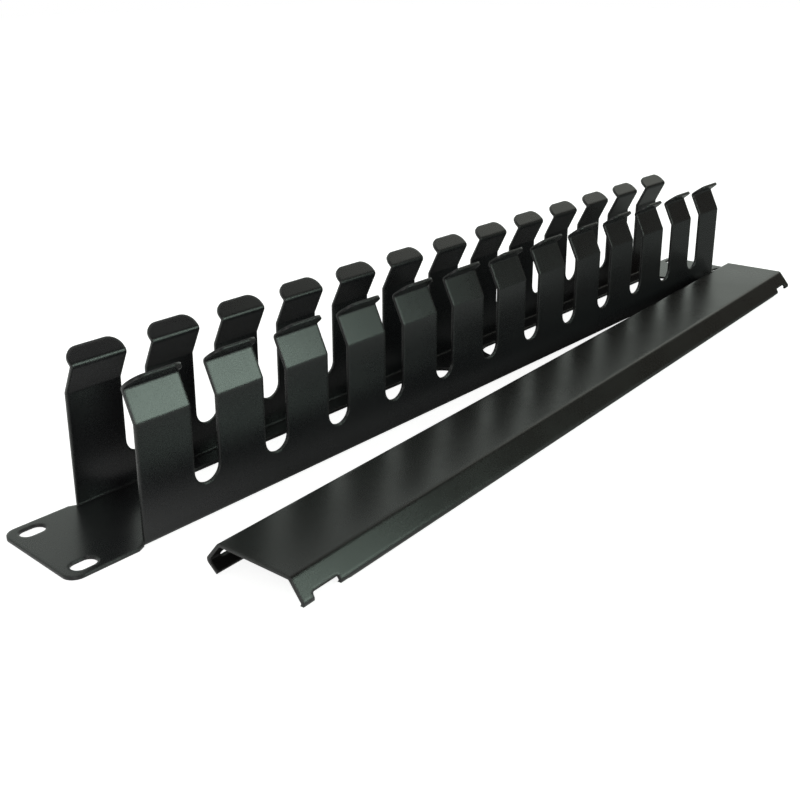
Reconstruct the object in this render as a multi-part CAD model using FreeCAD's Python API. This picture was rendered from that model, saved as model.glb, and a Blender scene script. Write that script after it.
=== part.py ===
"""Horizontal cable manager for a 19-inch rack: a slotted finger duct of folded steel sheet
with mounting ears, and its clip-on cover lying on the ground in front of it.

X runs along the duct, +Y away from the cover, +Z up from the rear face along the fingers.
The origin is the centre of the four rack slots on the rear face. Millimetres."""
import FreeCAD, Part
import math
import os

V = FreeCAD.Vector

# steel sheet, the same for both pieces
sheet = 1.2
bend_inner_radius = 0.6

# rack panel: the ears are one plate with the duct's floor
panel_length = 482.6
panel_height = 43.7
panel_corner_radius = 5.0
ear_length = 29.6
ear_step_length = 3.0
ear_step_depth = 1.4
rack_slot_end_land = 8.75  # from the panel's end to a slot's centre
rack_slot_rise = 31.75
rack_slot_length = 9.8
rack_slot_width = 6.4

# duct walls, measured on their outer faces
wall_set_in = 0.9  # from the panel's long edge to the wall
wall_height = 45.1
lean_length = 12.3
lean_angle = 25.9
lip_length = 6.9
lip_rise_angle = 40.1
lip_corner_radius = 5.4

# fingers
finger_count = 13
finger_width = 21.8
end_finger_extra = 1.0
gap_foot_height = 13.6

# cable windows in the duct's floor
floor_window_side_land = 10.25
floor_window_end_land = 15.6
floor_window_rib = 28.0

# clip-on cover
cover_end_play = 0.85  # from each end of the duct, when clipped on
cover_bend_margin = 1.25  # from the lips' tips to the cover's widest corner, when clipped on
cover_flange_length = 10.25
cover_flange_drop_angle = 51.3
cover_return_length = 6.35
cover_return_drop_angle = 38.5
clip_window_length = 12.3
clip_window_end_land = 4.9
clip_window_above_bend = 2.15
clip_window_below_bend = 0.6
clip_window_corner_radius = 0.8
near_return_start = 22.5  # from each end; out there the near flange stops as a curl
near_curl_height = 3.5  # above the ground

# where the cover lies, clear of the panel's edge
cover_shift = 5.1
cover_clearance = 1.0
cover_yaw = 3.3

# everything below follows from the sizes above
duct_length = panel_length - 2 * ear_length
duct_width = panel_height - 2 * wall_set_in
gap_width = (duct_length - finger_count * finger_width - 2 * end_finger_extra) / (finger_count - 1)
finger_pitch = finger_width + gap_width
cover_length = duct_length - 2 * cover_end_play
through = 2 * sheet  # how far a cutter runs past the sheet it cuts


def polar(length, angle):
    """Horizontal and vertical run of a straight piece at an angle above the horizontal."""
    turn = math.radians(angle)
    return length * math.cos(turn), length * math.sin(turn)


def rounded_face(corners, lift):
    """Flat face inside a closed loop of (u, v, radius) corners; lift turns (u, v) into a point."""
    entries, middles, exits = [], [], []
    count = len(corners)
    for index in range(count):
        u, v, radius = corners[index]
        last_u, last_v = corners[index - 1][:2]
        next_u, next_v = corners[(index + 1) % count][:2]
        inward = V(u - last_u, v - last_v, 0).normalize()
        outward = V(next_u - u, next_v - v, 0).normalize()
        turn = inward.getAngle(outward)
        corner = V(u, v, 0)
        reach = radius * math.tan(turn / 2)
        entry = corner - inward * reach
        leave = corner + outward * reach
        entries.append(entry)
        exits.append(leave)
        if reach > 0:
            bisector = (outward - inward).normalize()
            middles.append(corner + bisector * radius * (1 / math.cos(turn / 2) - 1))
        else:
            middles.append(None)
    edges = []
    for index in range(count):
        if middles[index] is not None:
            points = [lift(p.x, p.y) for p in (entries[index], middles[index], exits[index])]
            edges.append(Part.Arc(*points).toShape())
        start = exits[index]
        end = entries[(index + 1) % count]
        edges.append(Part.makeLine(lift(start.x, start.y), lift(end.x, end.y)))
    return Part.Face(Part.Wire(edges))


def folded_strip(outer_points, length):
    """Sheet folded along a row of (y, z) points on its outer face, centred on X, `length` long.
    The sheet's thickness lies to the left of the row, and every bend keeps it constant."""
    outer, inner = [], []
    last = len(outer_points) - 1
    for index, (y, z) in enumerate(outer_points):
        here = V(y, z, 0)
        before = here - V(*outer_points[index - 1], 0) if index > 0 else None
        after = V(*outer_points[index + 1], 0) - here if index < last else None
        along = [d.normalize() for d in (before, after) if d is not None]
        left = [V(-d.y, d.x, 0) for d in along]
        if len(along) == 1:
            offset = here + left[0] * sheet
            outer.append((y, z, 0))
            inner.append((offset.x, offset.y, 0))
            continue
        half_turn = along[0].getAngle(along[1]) / 2
        mitre = (left[0] + left[1]).normalize() * (sheet / math.cos(half_turn))
        turns_left = along[0].cross(along[1]).z > 0
        outer_radius = bend_inner_radius + (sheet if turns_left else 0)
        inner_radius = bend_inner_radius + (0 if turns_left else sheet)
        outer.append((y, z, outer_radius))
        inner.append((y + mitre.x, z + mitre.y, inner_radius))
    face = rounded_face(outer + inner[::-1], lambda u, v: V(-length / 2, u, v))
    return face.extrude(V(length, 0, 0))


def obround(length, width, low, high):
    """Upright slot cutter, long along X, with fully rounded ends, centred on the Z axis."""
    straight = (length - width) / 2
    radius = width / 2
    wire = Part.Wire([
        Part.makeLine(V(-straight, -radius, low), V(straight, -radius, low)),
        Part.Arc(V(straight, -radius, low), V(straight + radius, 0, low), V(straight, radius, low)).toShape(),
        Part.makeLine(V(straight, radius, low), V(-straight, radius, low)),
        Part.Arc(V(-straight, radius, low), V(-straight - radius, 0, low), V(-straight, -radius, low)).toShape(),
    ])
    return Part.Face(wire).extrude(V(0, 0, high - low))


def at(shape, x, y):
    """The shape moved to (x, y)."""
    moved = shape.copy()
    moved.translate(V(x, y, 0))
    return moved


def duct_wall_points():
    """(y, z) corners on the outer face of the far wall, from its foot to the tip of its lip."""
    half = duct_width / 2
    lean_in, lean_up = polar(lean_length, 90 - lean_angle)
    lip_out, lip_up = polar(lip_length, lip_rise_angle)
    neck_y = half - lean_in
    neck_z = wall_height + lean_up
    return [(half, 0), (half, wall_height), (neck_y, neck_z), (neck_y + lip_out, neck_z + lip_up)]


def gap_cutter():
    """Round-footed upright gap, centred on X = 0, through both walls and open at the top."""
    tip_y, tip_z = duct_wall_points()[-1]
    reach = tip_y + through
    foot_centre = gap_foot_height + gap_width / 2
    block = Part.makeBox(gap_width, 2 * reach, tip_z + through - foot_centre,
                         V(-gap_width / 2, -reach, foot_centre))
    foot = Part.makeCylinder(gap_width / 2, 2 * reach, V(0, -reach, foot_centre), V(0, 1, 0))
    return block.fuse(foot)


def lip_corner_cutter(side, hand):
    """Takes one lip corner of a finger to a quarter round. `side` is the wall's side of the duct,
    `hand` the end of the finger that meets X = 0; the finger lies on the other side of it."""
    tip_y, tip_z = duct_wall_points()[-1]
    along_y, along_z = polar(1, lip_rise_angle)
    down_lip = V(0, -side * along_y, -along_z)
    into_sheet = V(0, -side * along_z, along_y)
    into_finger = V(-hand, 0, 0)
    tip = V(0, side * tip_y, tip_z)
    centre = tip + (down_lip + into_finger) * lip_corner_radius
    middle = centre - (down_lip + into_finger).normalize() * lip_corner_radius
    beside = tip + down_lip * lip_corner_radius
    above = tip + into_finger * lip_corner_radius
    past = (down_lip + into_finger) * -through
    wire = Part.Wire([
        Part.Arc(beside, middle, above).toShape(),
        Part.makeLine(above, above - down_lip * through),
        Part.makeLine(above - down_lip * through, tip + past),
        Part.makeLine(tip + past, beside - into_finger * through),
        Part.makeLine(beside - into_finger * through, beside),
    ])
    wire.translate(into_sheet * -through)
    return Part.Face(wire).extrude(into_sheet * (sheet + 2 * through))


def finger_ends():
    """X of both ends of each finger, the first and last a little wider at the duct's ends."""
    ends = []
    for index in range(finger_count):
        centre = (index - (finger_count - 1) / 2) * finger_pitch
        low = centre - finger_width / 2 - (end_finger_extra if index == 0 else 0)
        high = centre + finger_width / 2 + (end_finger_extra if index == finger_count - 1 else 0)
        ends.append((low, high))
    return ends


def ear(hand):
    """Mounting ear at one end: rounded outer corners, two rack slots, and a small step
    where its edges run in to the foot of the walls."""
    root_x = duct_length / 2 - through
    step_x = duct_length / 2
    wide_x = step_x + ear_step_length
    tip_x = panel_length / 2
    half = panel_height / 2
    narrow = half - ear_step_depth
    edge = [(root_x, -narrow, 0), (step_x, -narrow, 0), (wide_x, -half, 0),
            (tip_x, -half, panel_corner_radius), (tip_x, half, panel_corner_radius),
            (wide_x, half, 0), (step_x, narrow, 0), (root_x, narrow, 0)]
    plate = rounded_face(edge, lambda u, v: V(hand * u, v, 0)).extrude(V(0, 0, sheet))
    inside = Part.makeBox(through, panel_height, sheet,
                          V(root_x if hand > 0 else -step_x, -half, 0))
    slots = [at(obround(rack_slot_length, rack_slot_width, -through, through),
                hand * (tip_x - rack_slot_end_land), rise * rack_slot_rise / 2) for rise in (-1, 1)]
    return plate.cut(inside.fuse(slots))


def duct_base():
    """Floor, two combs of hooked fingers and both ears, folded from one sheet."""
    wall = duct_wall_points()
    body = folded_strip([(-y, z) for y, z in wall[::-1]] + wall, duct_length)
    body = body.fuse([ear(-1), ear(1)])
    ends = finger_ends()
    cutters = []
    for before, after in zip(ends, ends[1:]):
        cutters.append(at(gap_cutter(), (before[1] + after[0]) / 2, 0))
    for low, high in ends:
        for side in (-1, 1):
            cutters.append(at(lip_corner_cutter(side, -1), low, 0))
            cutters.append(at(lip_corner_cutter(side, 1), high, 0))
    window_length = duct_length / 2 - floor_window_end_land - floor_window_rib / 2
    window_width = duct_width - 2 * floor_window_side_land
    window = obround(window_length, window_width, -through, through)
    window_x = (floor_window_rib + window_length) / 2
    cutters += [at(window, -window_x, 0), at(window, window_x, 0)]
    return body.cut(cutters).removeSplitter()


def cover_half_points():
    """(y, z) corners on the outer face of the cover's +Y half, from the return's tip to the fold."""
    flange_out, flange_down = polar(cover_flange_length, cover_flange_drop_angle)
    return_in, return_down = polar(cover_return_length, cover_return_drop_angle)
    lip_tip_y = duct_wall_points()[-1][0]
    bend_y = lip_tip_y + cover_bend_margin
    return [(bend_y - return_in, 0), (bend_y, return_down),
            (bend_y - flange_out, return_down + flange_down)]


def clip_window_cutter(low, reach):
    """Round-cornered window up from the height `low` through one flange, at X = 0."""
    bend_z = cover_half_points()[1][1]
    half = clip_window_length / 2
    high = bend_z + clip_window_above_bend
    radius = clip_window_corner_radius
    loop = [(-half, low, radius), (half, low, radius), (half, high, radius), (-half, high, radius)]
    return rounded_face(loop, lambda u, v: V(u, 0, v)).extrude(V(0, reach, 0))


def near_return_cutter():
    """What the near flange loses below its curl, from X = 0 on."""
    bend_y = cover_half_points()[1][0]
    reach = bend_y + through
    return Part.makeBox(near_return_start, reach, near_curl_height + through, V(0, -reach, -through))


def cover():
    """Clip-on cover: flat top, flanges leaning out, returns turned in under them, and at each
    end a window in the far flange and an open notch in the near one for the fingers' lips.
    It lies on its returns, turned a little to the duct."""
    half = cover_half_points()
    body = folded_strip(half + [(-y, z) for y, z in half[::-1]], cover_length)
    bend_y, bend_z = half[1]
    window_x = cover_length / 2 - clip_window_end_land - clip_window_length / 2
    for x in (-window_x, window_x):
        window = clip_window_cutter(bend_z - clip_window_below_bend, bend_y + through)
        notch = clip_window_cutter(-through, -bend_y - through)
        body = body.cut([at(window, x, 0), at(notch, x, 0)])
    for x in (-cover_length / 2, cover_length / 2 - near_return_start):
        body = body.cut(at(near_return_cutter(), x, 0))
    body.rotate(V(0, 0, 0), V(0, 0, 1), cover_yaw)
    half_run, half_swing = polar(cover_length / 2, cover_yaw)
    centre_y = panel_height / 2 + cover_clearance + half_swing + bend_y
    body.translate(V(cover_shift, -centre_y, 0))
    return body


os.makedirs("parts", exist_ok=True)
pieces = {"duct_base": duct_base(), "cover": cover()}
for name, shape in pieces.items():
    print(name, "solids", len(shape.Solids), "valid", shape.isValid(), "volume", round(shape.Volume, 1))
    shape.exportStep("parts/" + name + ".step")
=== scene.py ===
import bpy
from math import radians
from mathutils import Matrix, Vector

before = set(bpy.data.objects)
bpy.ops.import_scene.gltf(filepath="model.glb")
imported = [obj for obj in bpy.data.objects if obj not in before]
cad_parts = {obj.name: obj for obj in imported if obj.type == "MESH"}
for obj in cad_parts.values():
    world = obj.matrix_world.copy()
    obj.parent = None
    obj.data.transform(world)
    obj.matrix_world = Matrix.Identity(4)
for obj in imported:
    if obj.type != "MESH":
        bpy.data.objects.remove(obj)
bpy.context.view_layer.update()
print("loaded", ", ".join(sorted(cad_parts)))


def newMaterial(name):
    material = bpy.data.materials.new(name)
    material.use_nodes = True
    material.node_tree.nodes.clear()
    return material, material.node_tree.nodes, material.node_tree.links


def noiseNode(nodes, links, coordinate, scale, detail, roughness=0.5):
    noise = nodes.new("ShaderNodeTexNoise")
    noise.inputs["Scale"].default_value = scale
    noise.inputs["Detail"].default_value = detail
    noise.inputs["Roughness"].default_value = roughness
    links.new(coordinate, noise.inputs["Vector"])
    return noise.outputs["Fac"]


def rampNode(nodes, links, value, low, high, fromLow=0.3, fromHigh=0.7):
    # by default it spreads a noise's middle values from low to high
    spread = nodes.new("ShaderNodeMapRange")
    spread.inputs["From Min"].default_value = fromLow
    spread.inputs["From Max"].default_value = fromHigh
    spread.inputs["To Min"].default_value = low
    spread.inputs["To Max"].default_value = high
    links.new(value, spread.inputs["Value"])
    return spread.outputs["Result"]


def mathNode(nodes, links, operation, *values):
    step = nodes.new("ShaderNodeMath")
    step.operation = operation
    for socket, value in zip(step.inputs, values):
        if isinstance(value, float):
            socket.default_value = value
        else:
            links.new(value, socket)
    return step.outputs["Value"]


def mixColourNode(nodes, links, factor, first, second):
    mix = nodes.new("ShaderNodeMix")
    mix.data_type = "RGBA"
    mix.inputs["A"].default_value = (*first, 1)
    mix.inputs["B"].default_value = (*second, 1)
    links.new(factor, mix.inputs["Factor"])
    return mix.outputs["Result"]


def bumpNode(nodes, links, height, normal, strength, distance):
    bump = nodes.new("ShaderNodeBump")
    bump.inputs["Strength"].default_value = strength
    bump.inputs["Distance"].default_value = distance
    links.new(height, bump.inputs["Height"])
    links.new(normal, bump.inputs["Normal"])
    return bump.outputs["Normal"]


# each piece's own coat: near-black, with a paler painted highlight colour for its edges
ductBaseCoat = dict(black=(0.0089, 0.0089, 0.0099), edgeHighlight=(0.020, 0.021, 0.020),
                    roughness=0.27, seed=0.0)
coverCoat = dict(black=(0.0068, 0.0067, 0.0065), edgeHighlight=(0.020, 0.020, 0.019),
                 roughness=0.275, seed=3.7)

# what both coats share: scales in features per metre, lengths in metres,
# gloss as changes of roughness, bump as strength and height
powder = dict(
    specular=0.42, ior=1.5,
    grain=2600.0, grainDetail=2, grainGloss=(-0.02, 0.03), grainBump=(0.04, 0.00005),
    ripple=420.0, rippleDetail=3, rippleBump=(0.035, 0.00012),  # slow flow-out
    clouds=22.0, cloudsDetail=4, cloudsRoughness=0.6, cloudsGloss=(-0.03, 0.05),
    edge=0.0014, edgeSamples=6,  # how far in from an edge the normal is rounded, which also sets the width of the painted edge highlight
    edgeTurn=(0.72, 0.97),  # cosines between which the painted edge highlight fades into the full black
)


def powderCoatMaterial(name, coat):
    material, nodes, links = newMaterial(name)
    place = nodes.new("ShaderNodeTexCoord")
    shift = nodes.new("ShaderNodeMapping")
    shift.inputs["Location"].default_value = (coat["seed"], 0, 0)
    links.new(place.outputs["Object"], shift.inputs["Vector"])
    at = shift.outputs["Vector"]

    grain = noiseNode(nodes, links, at, powder["grain"], powder["grainDetail"])
    ripple = noiseNode(nodes, links, at, powder["ripple"], powder["rippleDetail"])
    clouds = noiseNode(nodes, links, at, powder["clouds"], powder["cloudsDetail"],
                       powder["cloudsRoughness"])

    # painted highlight: edges are paler where the rounded normal parts from the flat one
    rounded = nodes.new("ShaderNodeBevel")
    rounded.samples = powder["edgeSamples"]
    rounded.inputs["Radius"].default_value = powder["edge"]
    flat = nodes.new("ShaderNodeNewGeometry")
    parting = nodes.new("ShaderNodeVectorMath")
    parting.operation = "DOT_PRODUCT"
    links.new(rounded.outputs["Normal"], parting.inputs[0])
    links.new(flat.outputs["Normal"], parting.inputs[1])
    edgeHighlightMask = rampNode(nodes, links, parting.outputs["Value"], 1.0, 0.0, *powder["edgeTurn"])
    colour = mixColourNode(nodes, links, edgeHighlightMask, coat["black"], coat["edgeHighlight"])

    low, high = (coat["roughness"] + change for change in powder["cloudsGloss"])
    patches = rampNode(nodes, links, clouds, low, high)
    grit = rampNode(nodes, links, grain, *powder["grainGloss"])
    gloss = mathNode(nodes, links, "ADD", patches, grit)

    slow = bumpNode(nodes, links, ripple, rounded.outputs["Normal"], *powder["rippleBump"])
    fine = bumpNode(nodes, links, grain, slow, *powder["grainBump"])

    shader = nodes.new("ShaderNodeBsdfPrincipled")
    shader.inputs["Metallic"].default_value = 0.0
    shader.inputs["IOR"].default_value = powder["ior"]
    shader.inputs["Specular IOR Level"].default_value = powder["specular"]
    links.new(colour, shader.inputs["Base Color"])
    links.new(gloss, shader.inputs["Roughness"])
    links.new(fine, shader.inputs["Normal"])
    out = nodes.new("ShaderNodeOutputMaterial")
    links.new(shader.outputs["BSDF"], out.inputs["Surface"])
    return material


for node, coat in (("duct_base", ductBaseCoat), ("cover", coverCoat)):
    finish = powderCoatMaterial(node.replace("_", " ") + " powder coat", coat)
    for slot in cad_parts[node].material_slots:
        slot.material = finish
print("coated the duct and the cover")

# in reflections the floor is dim beside the duct and to the right, bright elsewhere,
# and it glows to the left and behind; pairs say where along X or Y a change starts and ends
sweep = dict(reach=4.0, drop=0.0002, seen=0.84, pale=0.62, dim=0.25, bright=0.95,
             left=(0.04, -0.20), behind=(-0.02, 0.10),
             front=(-0.07, -0.13), frontEnds=(0.22, 0.06),
             glow=0.35, glowLeft=(-0.14, -0.22), glowBehind=(0.02, 0.20))


def whiteSweep():
    bpy.ops.mesh.primitive_plane_add(size=2 * sweep["reach"], location=(0, 0, -sweep["drop"]))
    floor = bpy.context.object
    floor.name = "whiteFloor"
    material, nodes, links = newMaterial("white floor")
    ray = nodes.new("ShaderNodeLightPath")
    place = nodes.new("ShaderNodeNewGeometry")
    split = nodes.new("ShaderNodeSeparateXYZ")
    links.new(place.outputs["Position"], split.inputs["Vector"])

    def across(axis, stretch, low, high):
        return rampNode(nodes, links, split.outputs[axis], low, high, *sweep[stretch])

    def joined(operation, *values):
        return mathNode(nodes, links, operation, *values)

    bounced = joined("MAXIMUM", ray.outputs["Is Glossy Ray"], ray.outputs["Is Transmission Ray"])
    grey = nodes.new("ShaderNodeMix")
    links.new(bounced, grey.inputs["Factor"])
    grey.inputs["A"].default_value = sweep["pale"]
    dim, bright = sweep["dim"], sweep["bright"]
    front = joined("MINIMUM", across("Y", "front", dim, bright),
                   across("X", "frontEnds", dim, bright))
    aside = joined("MAXIMUM", across("X", "left", dim, bright), across("Y", "behind", dim, bright))
    links.new(joined("MAXIMUM", front, aside), grey.inputs["B"])
    lit = nodes.new("ShaderNodeBsdfDiffuse")
    links.new(grey.outputs["Result"], lit.inputs["Color"])

    glowing = joined("MAXIMUM", across("X", "glowLeft", 0.0, sweep["glow"]),
                     across("Y", "glowBehind", 0.0, sweep["glow"]))
    seen = joined("MULTIPLY", ray.outputs["Is Camera Ray"], sweep["seen"])
    white = nodes.new("ShaderNodeEmission")
    links.new(joined("MULTIPLY_ADD", glowing, bounced, seen), white.inputs["Strength"])
    both = nodes.new("ShaderNodeAddShader")
    links.new(lit.outputs["BSDF"], both.inputs[0])
    links.new(white.outputs["Emission"], both.inputs[1])
    out = nodes.new("ShaderNodeOutputMaterial")
    links.new(both.outputs["Shader"], out.inputs["Surface"])
    floor.data.materials.append(material)


whiteSweep()
print("laid the white floor")

# a white card stands behind the duct; the room in front of it and above the card is dimmer
room = dict(front=(0.086, 0.070, 0.058), behind=(0.87, 0.95, 0.88), turns=(-0.20, 0.50),
            card=1.0, ceiling=0.45, cardTop=(0.47, 0.77))


def studioWorld():
    world = bpy.data.worlds.new("studio")
    bpy.context.scene.world = world
    world.use_nodes = True
    nodes, links = world.node_tree.nodes, world.node_tree.links
    nodes.clear()
    ray = nodes.new("ShaderNodeLightPath")
    place = nodes.new("ShaderNodeTexCoord")
    split = nodes.new("ShaderNodeSeparateXYZ")
    links.new(place.outputs["Generated"], split.inputs["Vector"])

    backwards = rampNode(nodes, links, split.outputs["Y"], 0.0, 1.0, *room["turns"])
    upwards = rampNode(nodes, links, split.outputs["Z"], room["card"], room["ceiling"],
                       *room["cardTop"])
    studio = nodes.new("ShaderNodeBackground")
    links.new(mixColourNode(nodes, links, backwards, room["front"], room["behind"]),
              studio.inputs["Color"])
    links.new(upwards, studio.inputs["Strength"])
    backdrop = nodes.new("ShaderNodeBackground")
    backdrop.inputs["Color"].default_value = (1, 1, 1, 1)
    either = nodes.new("ShaderNodeMixShader")
    links.new(ray.outputs["Is Camera Ray"], either.inputs["Fac"])
    links.new(studio.outputs["Background"], either.inputs[1])
    links.new(backdrop.outputs["Background"], either.inputs[2])
    out = nodes.new("ShaderNodeOutputWorld")
    links.new(either.outputs["Shader"], out.inputs["Surface"])


# metres and watts
softBoxes = {
    "frontRight": dict(place=(0.42, -0.95, 0.385), aim=(-0.12, 0, 0.05), size=(0.5, 0.40),
                       power=5.0, colour=(0.78, 1.0, 0.87)),
    "farRight": dict(place=(1.65, -0.05, 1.2), aim=(0, 0, 0.05), size=(0.8, 1.3),
                     power=2.8, colour=(0.96, 1.0, 0.90)),
    "cameraSide": dict(place=(-0.9, -0.9, 0.5), aim=(0, 0, 0.03), size=(0.8, 0.8),
                       power=5.8, colour=(1.0, 1.0, 1.0)),
    "top": dict(place=(0.0, 0.25, 1.3), aim=(0, 0, 0), size=(1.4, 0.9),
                power=4.2, colour=(1.0, 1.0, 1.0)),
}


def turnTo(place, aim):
    return (Vector(aim) - Vector(place)).to_track_quat("-Z", "Y").to_euler()


def softBox(name, box):
    light = bpy.data.lights.new(name, "AREA")
    light.shape = "RECTANGLE"
    light.size, light.size_y = box["size"]
    light.energy = box["power"]
    light.color = box["colour"]
    lamp = bpy.data.objects.new(name, light)
    bpy.context.scene.collection.objects.link(lamp)
    lamp.location = box["place"]
    lamp.rotation_euler = turnTo(box["place"], box["aim"])


studioWorld()
for name, box in softBoxes.items():
    softBox(name, box)
print("lit by", len(softBoxes), "soft boxes and the studio")

view = dict(place=(-0.39147, -0.29089, 0.18601), aim=(-0.08123, 0.00316, 0.04537), roll=-0.79,
            lens=47.56, sensor=36.0, shift=(0.056, -0.1067))


def placeCamera():
    camera = bpy.data.objects.new("camera", bpy.data.cameras.new("camera"))
    bpy.context.scene.collection.objects.link(camera)
    camera.location = view["place"]
    camera.rotation_euler = turnTo(view["place"], view["aim"])
    camera.rotation_euler.rotate_axis("Z", radians(view["roll"]))
    camera.data.lens = view["lens"]
    camera.data.sensor_width = view["sensor"]
    camera.data.shift_x, camera.data.shift_y = view["shift"]
    bpy.context.scene.camera = camera
    bpy.context.scene.view_settings.view_transform = "Standard"


placeCamera()
print("set the camera")
